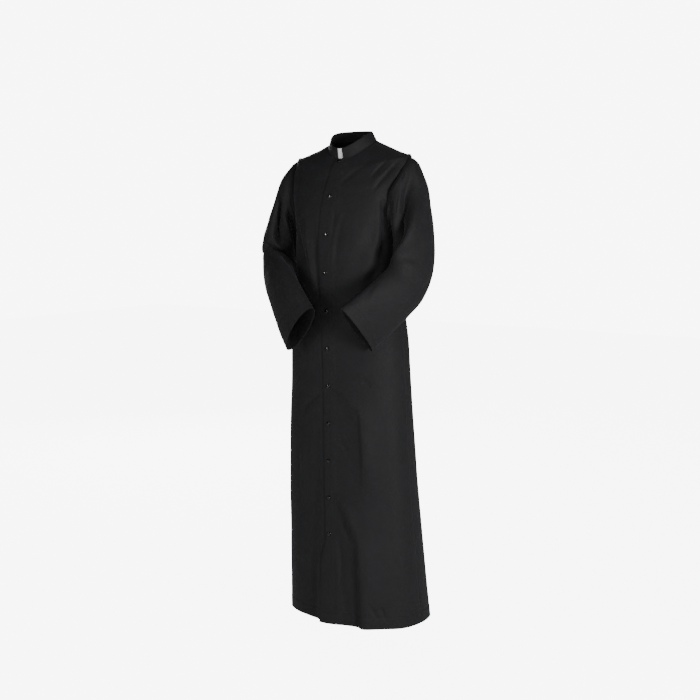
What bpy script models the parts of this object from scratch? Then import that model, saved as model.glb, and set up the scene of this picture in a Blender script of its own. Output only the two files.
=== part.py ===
"""A clergy cassock, standing open in the shape it has when it is worn.

The cloth is a thin wall throughout: two fronts that lap at the centre, one back, two sleeves bent
at the elbow, a stand collar with a white tab in its front notch, and a row of snap fasteners.

Metres, +Z up. The front faces -Y and the wearer's left arm is at +X. The origin is the centre of
the neck at the height of the nape, where the wearer's neck and shoulders carry the garment.
"""

import math
from collections import namedtuple

import bpy
import numpy as np
from mathutils import Matrix

# ---------------------------------------------------------------------------------------------
# Driving sizes
# ---------------------------------------------------------------------------------------------
BACK_LENGTH = 1.461  # nape to hem
CLOTH = 0.0020  # wall of the body and the sleeves
COLLAR_CLOTH = 0.0026  # the collar is doubled and stiffened
SEAM_GAP = 0.0003  # between pieces that are sewn together

LAP_EASE = 0.012  # width over which a front steps over, or under, the other
LAP_GAP = 2 * SEAM_GAP  # air between the two fronts where they lap
LAP_STEP = (CLOTH + LAP_GAP) / 2  # the left front rises and the right front sinks by this much

SNAP_PITCH = 0.1130  # along the front edge
SNAP_COUNT = 11
SNAP_FIRST = 0.0085  # from the neck seam to the first snap
SNAP_RADIUS = 0.0060
SNAP_HEIGHT = 0.0032
SNAP_SIDES = 16

LAST_SNAP = -1.175  # ring height of the last snap, below which the fronts part
SWING_LEFT, SWING_RIGHT = 0.012, -0.004  # how far out each front's edge has swung at the hem
SWING_REACH, SWING_EASE = 0.060, 0.080  # how far from the centre it ends, and over what width

COLLAR_HEIGHT = 0.031
COLLAR_CLEARANCE = 0.0004  # outside the fronts and the back, where their walls lean
COLLAR_NOTCH = 0.019  # width of the gap that shows the tab
TAB_WIDTH = 0.040
TAB_HEIGHT = 0.029
TAB_THICKNESS = 0.0010

ARMHOLE_STEPS = 24  # points round an armhole, shared by the body panels and the sleeves
SKIRT_ROWS = 20  # from the hem to the armpit
SHOULDER_ROWS = 6  # from the armhole's top to the neck
FRONT_COLUMNS = 10  # of a front, beyond its lap
BACK_COLUMNS = 26

# ---------------------------------------------------------------------------------------------
# The body: rings from the hem up to the neck seam
# ---------------------------------------------------------------------------------------------
# height: of the ring's sides. half_width: centre to side. front, back: how far the ring reaches
# forwards and backwards. front_drop, back_drop: how far its front and back hang below the height.
# right_drop: how far its right side does, as the wearer's right shoulder is carried a little
# lower. boxiness: 0 is an ellipse, and 0.05 has the squarer corners of a chest. lap: how far each
# front passes the centre line.
Ring = namedtuple(
    "Ring", "name height half_width front back front_drop back_drop right_drop boxiness lap"
)

HEM = -BACK_LENGTH
ARMPIT = -0.275
SHOULDER = -0.039

RINGS = (
    Ring("hem", HEM, 0.226, 0.114, 0.209, -0.003, 0.000, -0.003, 0.010, 0.032),
    Ring("below_snaps", -1.255, 0.2185, 0.1185, 0.1735, 0.000, 0.000, -0.002, 0.010, 0.026),
    Ring("shin", -1.200, 0.216, 0.119, 0.165, 0.000, 0.000, -0.001, 0.010, 0.013),
    Ring("knee", -0.980, 0.208, 0.121, 0.131, 0.000, 0.000, 0.000, 0.010, 0.016),
    Ring("thigh", -0.780, 0.201, 0.123, 0.114, 0.000, 0.000, 0.000, 0.015, 0.016),
    Ring("hip", -0.620, 0.195, 0.127, 0.110, 0.000, 0.000, 0.000, 0.020, 0.017),
    Ring("waist", -0.440, 0.170, 0.134, 0.110, 0.000, 0.000, 0.000, 0.018, 0.021),
    Ring("ribs", -0.350, 0.165, 0.139, 0.114, 0.000, 0.000, 0.000, 0.026, 0.023),
    Ring("armpit", ARMPIT, 0.168, 0.131, 0.120, 0.000, 0.000, 0.000, 0.042, 0.026),
    Ring("blades", -0.200, 0.179, 0.120, 0.123, 0.006, 0.006, 0.003, 0.042, 0.026),
    Ring("chest", -0.120, 0.190, 0.104, 0.116, 0.028, 0.022, 0.006, 0.030, 0.023),
    Ring("collarbone", -0.076, 0.197, 0.091, 0.109, 0.040, 0.030, 0.007, 0.008, 0.020),
    Ring("shoulder", SHOULDER, 0.200, 0.078, 0.099, 0.047, 0.034, 0.007, -0.014, 0.018),
    Ring("slope", -0.027, 0.166, 0.0725, 0.091, 0.050, 0.028, 0.007, -0.014, 0.017),
    Ring("slope_top", -0.014, 0.124, 0.066, 0.083, 0.053, 0.016, 0.006, -0.008, 0.016),
    Ring("neck_side", -0.004, 0.090, 0.061, 0.075, 0.056, 0.005, 0.002, 0.000, 0.015),
    Ring("neck", 0.000, 0.076, 0.058, 0.072, 0.057, 0.000, 0.000, 0.000, 0.014),
)

# Armhole: an ellipse in ring height and angle round the body, between armpit and shoulder.
ARMHOLE_MIDDLE = (ARMPIT + SHOULDER) / 2
ARMHOLE_HALF = (SHOULDER - ARMPIT) / 2
ARMHOLE_FRONT = math.radians(29)  # reach in front of the side seam
ARMHOLE_BACK = math.radians(27)
SIDE = math.radians(90)

# Soft folds. Each is a ridge (or, with a negative rise, a trough) along a curve from point 1 to
# point 3 that bends towards point 2. across_* is in degrees: round the body from the front centre
# towards the wearer's left, or round a sleeve from its outer side by its front. along_* is in
# metres: the ring height on the body, or the distance from the armhole on a sleeve. near_width and
# far_width are the fold's spread on the side of smaller and of larger angles.
Fold = namedtuple(
    "Fold",
    "name across_1 along_1 across_2 along_2 across_3 along_3 rise near_width far_width",
)

BELOW_HEM = HEM - 0.1  # a fold that ends here runs out through the hem
FOLD_STEPS = 17  # points along a fold's line
FOLD_FADE = 0.35  # share of its length over which a fold rises from nothing

BODY_FOLDS = (
    Fold("snap_drag", 8, -1.055, 34, -1.12, 28, BELOW_HEM, 0.010, 0.018, 0.070),
    Fold("hip_drag", 6, -0.745, 40, -0.765, 29, -1.10, 0.006, 0.018, 0.045),
    Fold("side_left", 66, -0.70, 64, -1.10, 62, BELOW_HEM, 0.006, 0.045, 0.045),
    Fold("side_right", -64, -0.66, -60, -1.10, -60, BELOW_HEM, 0.006, 0.045, 0.045),
    Fold("front_right", -22, -0.90, -24, -1.20, -25, BELOW_HEM, -0.006, 0.040, 0.030),
    Fold("chest_left", 58, -0.22, 46, -0.30, 26, -0.42, -0.006, 0.026, 0.030),
    Fold("chest_right", -54, -0.22, -44, -0.32, -30, -0.46, -0.005, 0.030, 0.026),
    Fold("back_left", 152, -0.40, 148, -0.90, 145, BELOW_HEM, 0.012, 0.045, 0.045),
    Fold("back_right", -152, -0.40, -149, -0.90, -146, BELOW_HEM, 0.012, 0.045, 0.045),
    Fold("back_side_left", 122, -0.62, 121, -1.00, 119, BELOW_HEM, 0.008, 0.040, 0.040),
    Fold("back_side_right", -120, -0.60, -119, -1.00, -117, BELOW_HEM, 0.010, 0.040, 0.040),
    Fold("back_centre", 178, -0.55, 180, -1.00, 181, BELOW_HEM, -0.014, 0.040, 0.040),
)
LEFT_SLEEVE_FOLDS = (
    Fold("front_valley", 14, 0.06, 95, 0.09, 128, 0.25, -0.009, 0.020, 0.020),
    Fold("front_ridge", 30, 0.09, 84, 0.14, 104, 0.29, 0.006, 0.022, 0.022),
    Fold("elbow_crease", 110, 0.235, 145, 0.245, 190, 0.26, -0.007, 0.018, 0.018),
    Fold("back_drag", 265, 0.10, 240, 0.17, 225, 0.26, -0.006, 0.020, 0.022),
)
RIGHT_SLEEVE_FOLDS = (
    Fold("front_valley", 74, 0.05, 105, 0.10, 138, 0.18, -0.007, 0.018, 0.020),
    Fold("elbow_crease", 50, 0.185, 110, 0.225, 165, 0.26, -0.012, 0.020, 0.020),
    Fold("elbow_ridge", 60, 0.250, 110, 0.280, 150, 0.33, 0.004, 0.024, 0.024),
    Fold("back_drag", 268, 0.11, 242, 0.18, 228, 0.28, -0.006, 0.020, 0.022),
)


def curve(xs, ys):
    """A smooth function through the points, with no overshoot between them."""
    xs, ys = np.array(xs, float), np.array(ys, float)
    chords = np.diff(ys) / np.diff(xs)
    same_way = chords[:-1] * chords[1:] > 0
    inner = np.where(
        same_way, 2 * chords[:-1] * chords[1:] / (chords[:-1] + chords[1:] + 1e-30), 0.0
    )
    slopes = np.concatenate([[chords[0]], inner, [chords[-1]]])

    def value(x):
        x = np.clip(np.asarray(x, float), xs[0], xs[-1])
        i = np.clip(np.searchsorted(xs, x, side="right") - 1, 0, len(xs) - 2)
        span = xs[i + 1] - xs[i]
        t = (x - xs[i]) / span
        return (
            ys[i] * (1 + 2 * t) * (1 - t) ** 2
            + slopes[i] * span * t * (1 - t) ** 2
            + ys[i + 1] * t * t * (3 - 2 * t)
            + slopes[i + 1] * span * t * t * (t - 1)
        )

    return value


def ring_column(name):
    return curve([ring.height for ring in RINGS], [getattr(ring, name) for ring in RINGS])


HALF_WIDTH, FRONT, BACK = ring_column("half_width"), ring_column("front"), ring_column("back")
FRONT_DROP, BACK_DROP = ring_column("front_drop"), ring_column("back_drop")
RIGHT_DROP, BOXINESS, LAP = (ring_column(name) for name in ("right_drop", "boxiness", "lap"))


def ease(t):
    """0 to 1, level at both ends."""
    t = np.clip(t, 0.0, 1.0)
    return t * t * (3 - 2 * t)


def round_metres(height):
    """Metres round the body for each radian, about."""
    depth = (FRONT(height) + BACK(height)) / 2
    return np.sqrt((HALF_WIDTH(height) ** 2 + depth**2) / 2)


def fold_rise(folds, across, along, metres_per_radian):
    """The sum of the folds at points of a cloth, from their place across (radians) and along."""
    total = np.zeros(across.shape)
    t = np.linspace(0, 1, FOLD_STEPS)
    weights = np.array([(1 - t) ** 2, 2 * t * (1 - t), t**2])
    for fold in folds:
        line_across = np.radians([fold.across_1, fold.across_2, fold.across_3] @ weights)
        line_along = [fold.along_1, fold.along_2, fold.along_3] @ weights
        turns = (across[..., None] - line_across + math.pi) % (2 * math.pi) - math.pi
        du = turns * metres_per_radian[..., None]
        dv = along[..., None] - line_along
        nearest = np.argmin(du**2 + dv**2, axis=-1)[..., None]
        du = np.take_along_axis(du, nearest, -1)[..., 0]
        dv = np.take_along_axis(dv, nearest, -1)[..., 0]
        width = np.where(du < 0, fold.near_width, fold.far_width)
        place = t[nearest[..., 0]]
        fade = ease(place / FOLD_FADE)
        if fold.along_3 > BELOW_HEM:
            fade = fade * ease((1 - place) / FOLD_FADE)
        total = total + fold.rise * fade * np.exp(-(du**2 + dv**2) / width**2)
    return total


def body_point(height, side):
    """A point of the body's outer surface, at a ring height and an angle from the front centre."""
    height, side = np.broadcast_arrays(np.asarray(height, float), np.asarray(side, float))
    q = BOXINESS(height)
    depth = (FRONT(height) + BACK(height)) / 2
    middle = (BACK(height) - FRONT(height)) / 2
    rise = fold_rise(BODY_FOLDS, side, height, round_metres(height))
    x = (HALF_WIDTH(height) + rise) * (np.sin(side) + q * np.sin(3 * side)) / (1 - q)
    y = middle - (depth + rise) * (np.cos(side) - q * np.cos(3 * side)) / (1 - q)
    z = (
        height
        - FRONT_DROP(height) * ((1 + np.cos(side)) / 2) ** 3
        - BACK_DROP(height) * ((1 - np.cos(side)) / 2) ** 3
        - RIGHT_DROP(height) * ease(-np.sin(side))
    )
    return np.stack([x, y, z], -1)


def unit(vectors):
    return vectors / np.linalg.norm(vectors, axis=-1, keepdims=True)


def body_normal(height, side):
    """The outward direction of the body's surface."""
    small = 1e-3
    height, side = np.broadcast_arrays(np.asarray(height, float), np.asarray(side, float))
    top = np.minimum(height + small, RINGS[-1].height)
    low = np.maximum(height - small, RINGS[0].height)
    up = body_point(top, side) - body_point(low, side)
    round_it = body_point(height, side + small) - body_point(height, side - small)
    return unit(np.cross(round_it, up))


# ---------------------------------------------------------------------------------------------
# Cloth walls
# ---------------------------------------------------------------------------------------------
def wall_mesh(name, outer, inner, closed_round=False):
    """A closed solid between two grids of points, each of rows by columns.

    Each four-sided patch is split along the same diagonal on both skins, so the skins stay
    parallel. closed_round joins the last column to the first, as on a sleeve.
    """
    rows, columns = outer.shape[:2]
    points = np.concatenate([outer.reshape(-1, 3), inner.reshape(-1, 3)])
    skin = rows * columns
    patches_across = columns if closed_round else columns - 1

    def index(row, column):
        return row * columns + column % columns

    faces = []
    for row in range(rows - 1):
        for column in range(patches_across):
            a, b = index(row, column), index(row, column + 1)
            c, d = index(row + 1, column + 1), index(row + 1, column)
            faces += [(a, b, c), (a, c, d)]
            faces += [(skin + a, skin + c, skin + b), (skin + a, skin + d, skin + c)]
    for column in range(patches_across):
        for row, flip in ((0, False), (rows - 1, True)):
            a, b = index(row, column), index(row, column + 1)
            rim = (a, skin + a, skin + b, b)
            faces.append(rim[::-1] if flip else rim)
    if not closed_round:
        for row in range(rows - 1):
            for column, flip in ((0, True), (columns - 1, False)):
                a, b = index(row, column), index(row + 1, column)
                rim = (a, skin + a, skin + b, b)
                faces.append(rim[::-1] if flip else rim)
    mesh = bpy.data.meshes.new(name)
    mesh.from_pydata([tuple(p) for p in points], [], faces)
    mesh.validate()
    mesh.shade_smooth()
    mesh.set_sharp_from_angle(angle=math.radians(40))
    return mesh


def add_object(name, mesh, material, matrix=None):
    thing = bpy.data.objects.new(name, mesh)
    if not mesh.materials:
        mesh.materials.append(material)
    if matrix is not None:
        thing.matrix_world = matrix
    bpy.context.scene.collection.objects.link(thing)
    return thing


def add_wall(name, outer, normals, thickness, material, closed_round=False):
    mesh = wall_mesh(name, outer, outer - thickness * normals, closed_round)
    return add_object(name, mesh, material)


# ---------------------------------------------------------------------------------------------
# Body panels
# ---------------------------------------------------------------------------------------------
def armhole_reach(height, reach):
    """How far round from the side seam the armhole has cut the panel away, at a ring height."""
    cosine = np.clip((height - ARMHOLE_MIDDLE) / ARMHOLE_HALF, -1, 1)
    return reach * np.sqrt(1 - cosine**2)


def panel_heights():
    """The ring heights of a panel's rows: even on the skirt, then each armhole point, then even."""
    skirt = np.linspace(HEM, ARMPIT, SKIRT_ROWS + 1)
    turns = np.linspace(math.pi, 0, ARMHOLE_STEPS // 2 + 1)
    armhole = ARMHOLE_MIDDLE + ARMHOLE_HALF * np.cos(turns)
    shoulder = np.linspace(SHOULDER, 0.0, SHOULDER_ROWS + 1)
    return np.concatenate([skirt[:-1], armhole, shoulder[1:]])


def metres_per_radian_at_front(height):
    q = BOXINESS(height)
    return HALF_WIDTH(height) * (1 + 3 * q) / (1 - q)


def front_panel(side_sign):
    """Outer points and normals of a front: side_sign is 1 for the wearer's left, -1 for the right."""
    heights = panel_heights()
    front_scale = metres_per_radian_at_front(heights)
    seam = SEAM_GAP / 2 / round_metres(heights)
    edge = SIDE - seam - armhole_reach(heights, ARMHOLE_FRONT)
    lap = LAP(heights)
    near = np.stack([-lap, -lap / 2, 0 * lap, lap * 0.55, lap, lap + LAP_EASE], -1)
    near = near / front_scale[:, None]
    shares = np.linspace(0, 1, FRONT_COLUMNS + 1)[1:]
    far = near[:, -1:] + shares[None, :] * (edge[:, None] - near[:, -1:])
    sides = np.concatenate([near, far], axis=1)
    across = sides * front_scale[:, None]
    heights = np.broadcast_to(heights[:, None], sides.shape)
    outer = body_point(heights, side_sign * sides)
    normals = body_normal(heights, side_sign * sides)
    step = side_sign * lap_step(heights, across) + front_swing(heights, across, side_sign)
    outer = outer + step[..., None] * normals
    if side_sign < 0:
        outer, normals = outer[:, ::-1], normals[:, ::-1]
    return outer, normals


def lap_step(heights, across):
    """The fronts part by this much either way, so that the left one lies over the right one."""
    return LAP_STEP * ease((LAP(heights) + LAP_EASE - across) / LAP_EASE)


def front_swing(heights, across, side_sign):
    """Below the last snap the fronts part: the left one swings out and the right one in."""
    below = ease((LAST_SNAP - heights) / (LAST_SNAP - HEM))
    near_edge = ease((SWING_REACH - across) / SWING_EASE)
    return below * near_edge * (SWING_LEFT if side_sign > 0 else SWING_RIGHT)


def back_panel():
    heights = panel_heights()
    seam = SEAM_GAP / 2 / round_metres(heights)
    start = SIDE + seam + armhole_reach(heights, ARMHOLE_BACK)
    shares = np.linspace(0, 1, BACK_COLUMNS + 1)
    sides = start[:, None] + shares[None, :] * (2 * math.pi - 2 * start[:, None])
    heights = np.broadcast_to(heights[:, None], sides.shape)
    return body_point(heights, sides), body_normal(heights, sides)


# ---------------------------------------------------------------------------------------------
# Sleeves
# ---------------------------------------------------------------------------------------------
# x, y, z: centre of the section. out_azimuth, out_rise: direction, in degrees from +X about +Z
# and above level, from the centre to the sleeve's outer side. half_breadth: centre to outer side.
# half_depth: centre to the side that starts as the sleeve's front and becomes its top at the wrist.
ArmSection = namedtuple("ArmSection", "name x y z out_azimuth out_rise half_breadth half_depth")

LEFT_ARM = (
    ArmSection("cap", 0.204, -0.004, -0.185, 0, 70, 0.0955, 0.070),
    ArmSection("cap_low", 0.218, -0.008, -0.234, 0, 45, 0.0622, 0.077),
    ArmSection("biceps", 0.228, -0.012, -0.290, 0, 12, 0.053, 0.078),
    ArmSection("upper_arm", 0.231, -0.018, -0.335, -5, 2, 0.052, 0.079),
    ArmSection("elbow_top", 0.231, -0.030, -0.375, -10, -3, 0.051, 0.080),
    ArmSection("elbow", 0.226, -0.052, -0.414, -14, -8, 0.050, 0.082),
    ArmSection("below_elbow", 0.212, -0.090, -0.450, -17, -12, 0.046, 0.084),
    ArmSection("forearm", 0.181, -0.143, -0.500, -20, -14, 0.036, 0.089),
    ArmSection("cuff", 0.143, -0.185, -0.547, -20, -15, 0.028, 0.094),
)
RIGHT_ARM = (
    ArmSection("cap", -0.204, -0.004, -0.188, 180, 70, 0.0955, 0.070),
    ArmSection("cap_low", -0.224, -0.010, -0.236, 180, 45, 0.0622, 0.077),
    ArmSection("biceps", -0.243, -0.015, -0.290, 180, 14, 0.053, 0.078),
    ArmSection("upper_arm", -0.252, -0.018, -0.335, 186, 4, 0.052, 0.079),
    ArmSection("elbow_top", -0.249, -0.030, -0.376, 196, 0, 0.051, 0.080),
    ArmSection("elbow", -0.223, -0.067, -0.412, 210, 3, 0.049, 0.082),
    ArmSection("below_elbow", -0.167, -0.123, -0.446, 224, 6, 0.042, 0.085),
    ArmSection("forearm", -0.108, -0.164, -0.502, 236, 8, 0.032, 0.090),
    ArmSection("cuff", -0.057, -0.188, -0.555, 240, 9, 0.026, 0.094),
)
SLEEVE_ROWS = 26
SLEEVE_ROUND = 0.413  # round the sleeve, from the biceps to the cuff


def armhole_loop(arm_sign):
    """Points of the armhole from its top round by the front, and the body's normals there."""
    turns = np.arange(ARMHOLE_STEPS) * 2 * math.pi / ARMHOLE_STEPS
    heights = ARMHOLE_MIDDLE + ARMHOLE_HALF * np.cos(turns)
    forward = np.sin(turns)
    sides = SIDE - np.where(forward > 0, ARMHOLE_FRONT, ARMHOLE_BACK) * forward
    points = body_point(heights, arm_sign * sides)
    normals = body_normal(heights, arm_sign * sides)
    return points, normals


def sleeve_start(arm_sign):
    """The sleeve's first ring: the armhole, moved the seam's gap into the hole and off the body."""
    points, normals = armhole_loop(arm_sign)
    along = unit(np.roll(points, -1, 0) - np.roll(points, 1, 0))
    inward = unit(np.cross(normals, along)) * arm_sign
    turns = np.arange(ARMHOLE_STEPS) * 2 * math.pi / ARMHOLE_STEPS
    under = (1 - np.cos(turns)) / 2
    into_hole = SEAM_GAP * (1 + under)
    off_body = 3 * SEAM_GAP * under
    return points + inward * into_hole[:, None] + normals * off_body[:, None]


def arm_ring(section, tangent, arm_sign):
    """The points of one section of a sleeve, from its outer side round by its front."""
    azimuth, rise = math.radians(section.out_azimuth), math.radians(section.out_rise)
    out = np.array(
        [
            math.cos(rise) * math.cos(azimuth),
            math.cos(rise) * math.sin(azimuth),
            math.sin(rise),
        ]
    )
    front = unit(np.cross(tangent, out)) * arm_sign
    turns = np.arange(ARMHOLE_STEPS)[:, None] * 2 * math.pi / ARMHOLE_STEPS
    centre = np.array([section.x, section.y, section.z])
    return (
        centre
        + section.half_breadth * np.cos(turns) * out
        + section.half_depth * np.sin(turns) * front
    )


def through(knots, keys, at):
    """Points on the smooth curves through the key rings, at places along the sleeve."""
    spans = np.diff(knots)
    chords = np.diff(keys, axis=0) / spans[:, None, None]
    inner = (chords[:-1] * spans[1:, None, None] + chords[1:] * spans[:-1, None, None]) / (
        spans[1:] + spans[:-1]
    )[:, None, None]
    slopes = np.concatenate([chords[:1], inner, chords[-1:]])
    i = np.clip(np.searchsorted(knots, at, side="right") - 1, 0, len(knots) - 2)
    span = spans[i][:, None, None]
    t = (at - knots[i])[:, None, None] / span
    return (
        keys[i] * (1 + 2 * t) * (1 - t) ** 2
        + slopes[i] * span * t * (1 - t) ** 2
        + keys[i + 1] * t * t * (3 - 2 * t)
        + slopes[i + 1] * span * t * t * (t - 1)
    )


def sleeve_normals(outer, arm_sign):
    along = np.gradient(outer, axis=0)
    round_it = np.roll(outer, -1, 1) - np.roll(outer, 1, 1)
    return unit(np.cross(round_it, along)) * arm_sign


def sleeve(arm, folds, arm_sign):
    start = sleeve_start(arm_sign)
    centres = np.array([[s.x, s.y, s.z] for s in arm])
    path = np.concatenate([start.mean(axis=0)[None], centres])
    tangents = np.gradient(path, axis=0)[1:]
    keys = np.stack([start] + [arm_ring(s, t, arm_sign) for s, t in zip(arm, tangents)])
    steps = np.linalg.norm(np.diff(keys, axis=0), axis=-1).mean(axis=-1)
    knots = np.concatenate([[0], np.cumsum(steps)])
    at = np.linspace(0, knots[-1], SLEEVE_ROWS)
    outer = through(knots, keys, at)
    turns = np.arange(ARMHOLE_STEPS) * 2 * math.pi / ARMHOLE_STEPS
    turns, at = np.meshgrid(turns, at)
    rise = fold_rise(folds, turns, at, np.full(turns.shape, SLEEVE_ROUND / (2 * math.pi)))
    outer = outer + rise[..., None] * sleeve_normals(outer, arm_sign)
    normals = sleeve_normals(outer, arm_sign)
    if arm_sign < 0:
        outer, normals = outer[:, ::-1], normals[:, ::-1]
    return outer, normals


# ---------------------------------------------------------------------------------------------
# Collar and tab
# ---------------------------------------------------------------------------------------------
COLLAR_TOP_HALF_WIDTH = 0.062
COLLAR_TOP_FRONT = 0.064
COLLAR_TOP_BACK = 0.064
COLLAR_COLUMNS = 41
STEP_REACH, STEP_EASE = 0.070, 0.040  # how far from the centre the collar clears the fronts' lap


def collar_point(rise, side):
    """A point of the collar's outer face: rise is 0 at the neck seam and 1 at the top edge."""
    rise, side = np.broadcast_arrays(np.asarray(rise, float), np.asarray(side, float))
    base = body_point(0.0, side)
    top_depth = (COLLAR_TOP_FRONT + COLLAR_TOP_BACK) / 2
    top_middle = (COLLAR_TOP_BACK - COLLAR_TOP_FRONT) / 2
    top_x = COLLAR_TOP_HALF_WIDTH * np.sin(side)
    top_y = top_middle - top_depth * np.cos(side)
    lean = np.hypot(top_x - base[..., 0], top_y - base[..., 1])
    top_z = base[..., 2] + np.sqrt(COLLAR_HEIGHT**2 - lean**2)
    top = np.stack([top_x, top_y, top_z], -1)
    return base + rise[..., None] * (top - base)


def collar_normal(rise, side):
    small = 1e-3
    up = collar_point(1.0, side) - collar_point(0.0, side)
    round_it = collar_point(rise, side + small) - collar_point(rise, side - small)
    return unit(np.cross(round_it, np.broadcast_to(up, round_it.shape)))


def collar_base_offset(sides):
    """The collar stands clear of the fronts, over the step of the left one at the centre."""
    across = np.abs((sides + math.pi) % (2 * math.pi) - math.pi) * HALF_WIDTH(0.0)
    lift = COLLAR_CLEARANCE + LAP_STEP * ease((STEP_REACH - across) / STEP_EASE)
    return lift[..., None] * body_normal(0.0, sides)


def collar():
    notch = COLLAR_NOTCH / 2 / HALF_WIDTH(0.0)
    sides = np.linspace(notch, 2 * math.pi - notch, COLLAR_COLUMNS)
    rises = np.array([0.0, 0.35, 0.7, 1.0])
    sides, rises = np.meshgrid(sides, rises)
    outer = collar_point(rises, sides)
    normals = collar_normal(rises, sides)
    return outer + collar_base_offset(sides), normals


def collar_tab():
    """A white strip behind the collar's front edges, from its own points moved in."""
    half = TAB_WIDTH / 2 / HALF_WIDTH(0.0)
    sides = np.linspace(-half, half, 9)
    rises = np.linspace(0.04, TAB_HEIGHT / COLLAR_HEIGHT + 0.06, 5)
    sides, rises = np.meshgrid(sides, rises)
    outer = collar_point(rises, sides)
    normals = collar_normal(rises, sides)
    return outer + collar_base_offset(sides) - (COLLAR_CLOTH + 2 * SEAM_GAP) * normals, normals


# ---------------------------------------------------------------------------------------------
# Snap fasteners
# ---------------------------------------------------------------------------------------------
def snap_mesh():
    """A domed cap with a rolled rim, turned about +Z, standing on z = 0."""
    profile = (
        (0.80 * SNAP_RADIUS, 0.0),
        (1.00 * SNAP_RADIUS, 0.22 * SNAP_HEIGHT),
        (0.96 * SNAP_RADIUS, 0.50 * SNAP_HEIGHT),
        (0.70 * SNAP_RADIUS, 0.82 * SNAP_HEIGHT),
        (0.36 * SNAP_RADIUS, 0.97 * SNAP_HEIGHT),
    )
    points = [(0, 0, 0)]
    for radius, height in profile:
        for k in range(SNAP_SIDES):
            turn = 2 * math.pi * k / SNAP_SIDES
            points.append((radius * math.cos(turn), radius * math.sin(turn), height))
    points.append((0, 0, SNAP_HEIGHT))
    top = len(points) - 1
    faces = []
    for k in range(SNAP_SIDES):
        after = (k + 1) % SNAP_SIDES
        faces.append((0, 1 + after, 1 + k))
        for ring in range(len(profile) - 1):
            low, high = 1 + ring * SNAP_SIDES, 1 + (ring + 1) * SNAP_SIDES
            faces.append((low + k, low + after, high + after, high + k))
        last = 1 + (len(profile) - 1) * SNAP_SIDES
        faces.append((last + k, last + after, top))
    mesh = bpy.data.meshes.new("snap")
    mesh.from_pydata(points, [], faces)
    mesh.shade_smooth()
    mesh.set_sharp_from_angle(angle=math.radians(50))
    return mesh


def snap_places():
    """Ring heights of the snaps, at even spaces along the front centre line."""
    heights = np.linspace(0.0, HEM, 1500)
    line = body_point(heights, 0.0)
    lengths = np.concatenate([[0], np.cumsum(np.linalg.norm(np.diff(line, axis=0), axis=1))])
    wanted = SNAP_FIRST + SNAP_PITCH * np.arange(SNAP_COUNT)
    return np.interp(wanted, lengths, heights)


def snap_matrix(height):
    point = body_point(height, 0.0)
    normal = body_normal(height, 0.0)
    lift = LAP_STEP + SEAM_GAP + float(front_swing(height, 0.0, 1))
    place = point + lift * normal
    across = np.array([1.0, 0.0, 0.0])
    up = unit(np.cross(normal, across))
    across = np.cross(up, normal)
    return Matrix(
        [[across[k], up[k], normal[k], place[k]] for k in range(3)] + [[0, 0, 0, 1]]
    )


# ---------------------------------------------------------------------------------------------
# Materials and assembly
# ---------------------------------------------------------------------------------------------
def material(name, colour, roughness):
    made = bpy.data.materials.new(name)
    made.use_nodes = True
    shader = made.node_tree.nodes["Principled BSDF"]
    shader.inputs["Base Color"].default_value = (*colour, 1.0)
    shader.inputs["Roughness"].default_value = roughness
    made.diffuse_color = (*colour, 1.0)
    return made


def main():
    for thing in list(bpy.data.objects):
        bpy.data.objects.remove(thing)

    black_cloth = material("black_cloth", (0.022, 0.022, 0.023), 0.85)
    black_enamel = material("black_enamel", (0.010, 0.010, 0.011), 0.15)
    white_tab = material("white_tab", (0.85, 0.85, 0.84), 0.45)

    add_wall("front_left", *front_panel(1), CLOTH, black_cloth)
    add_wall("front_right", *front_panel(-1), CLOTH, black_cloth)
    add_wall("back", *back_panel(), CLOTH, black_cloth)
    left_sleeve = sleeve(LEFT_ARM, LEFT_SLEEVE_FOLDS, 1)
    right_sleeve = sleeve(RIGHT_ARM, RIGHT_SLEEVE_FOLDS, -1)
    add_wall("sleeve_left", *left_sleeve, CLOTH, black_cloth, closed_round=True)
    add_wall("sleeve_right", *right_sleeve, CLOTH, black_cloth, closed_round=True)
    add_wall("collar", *collar(), COLLAR_CLOTH, black_cloth)
    add_wall("collar_tab", *collar_tab(), TAB_THICKNESS, white_tab)

    snap = snap_mesh()
    for number, height in enumerate(snap_places(), start=1):
        add_object(f"snap_{number:02d}", snap, black_enamel, snap_matrix(height))


main()
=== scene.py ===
"""The looks of the clergy cassock: fine cloth, seams, stitching, snaps, studio and camera.

Each piece is a thin shell on its solid's form. The first half repeats the part's own sizes and
shapes, so that the cloth lies where the solids are. Metres, +Z up, the garment's front at -Y.
"""

from collections import namedtuple
from math import cos, pi, radians, sin

import bpy
import numpy as np
from mathutils import Matrix, Vector


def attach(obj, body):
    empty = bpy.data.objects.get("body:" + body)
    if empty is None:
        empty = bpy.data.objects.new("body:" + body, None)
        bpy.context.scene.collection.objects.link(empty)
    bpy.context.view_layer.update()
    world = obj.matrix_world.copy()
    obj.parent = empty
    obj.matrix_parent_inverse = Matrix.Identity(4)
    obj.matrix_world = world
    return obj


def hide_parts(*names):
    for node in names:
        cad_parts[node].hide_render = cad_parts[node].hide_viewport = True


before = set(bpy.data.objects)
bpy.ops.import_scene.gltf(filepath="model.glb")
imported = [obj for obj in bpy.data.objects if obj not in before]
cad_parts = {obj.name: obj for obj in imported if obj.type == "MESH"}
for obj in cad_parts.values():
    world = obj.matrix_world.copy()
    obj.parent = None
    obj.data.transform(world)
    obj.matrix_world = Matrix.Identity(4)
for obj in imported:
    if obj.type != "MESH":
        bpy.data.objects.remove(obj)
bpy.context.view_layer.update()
TURN = 2 * pi  # once round

# ---- Sizes of the part ----
HEM = -1.461  # below the nape
ARMPIT = -0.275
SHOULDER = -0.039
CLOTH = 0.002  # wall of the body and the sleeves
COLLAR_CLOTH = 0.0026  # the collar is doubled and stiffened
SEAM_GAP = 0.0003  # between pieces that are sewn together

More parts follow.
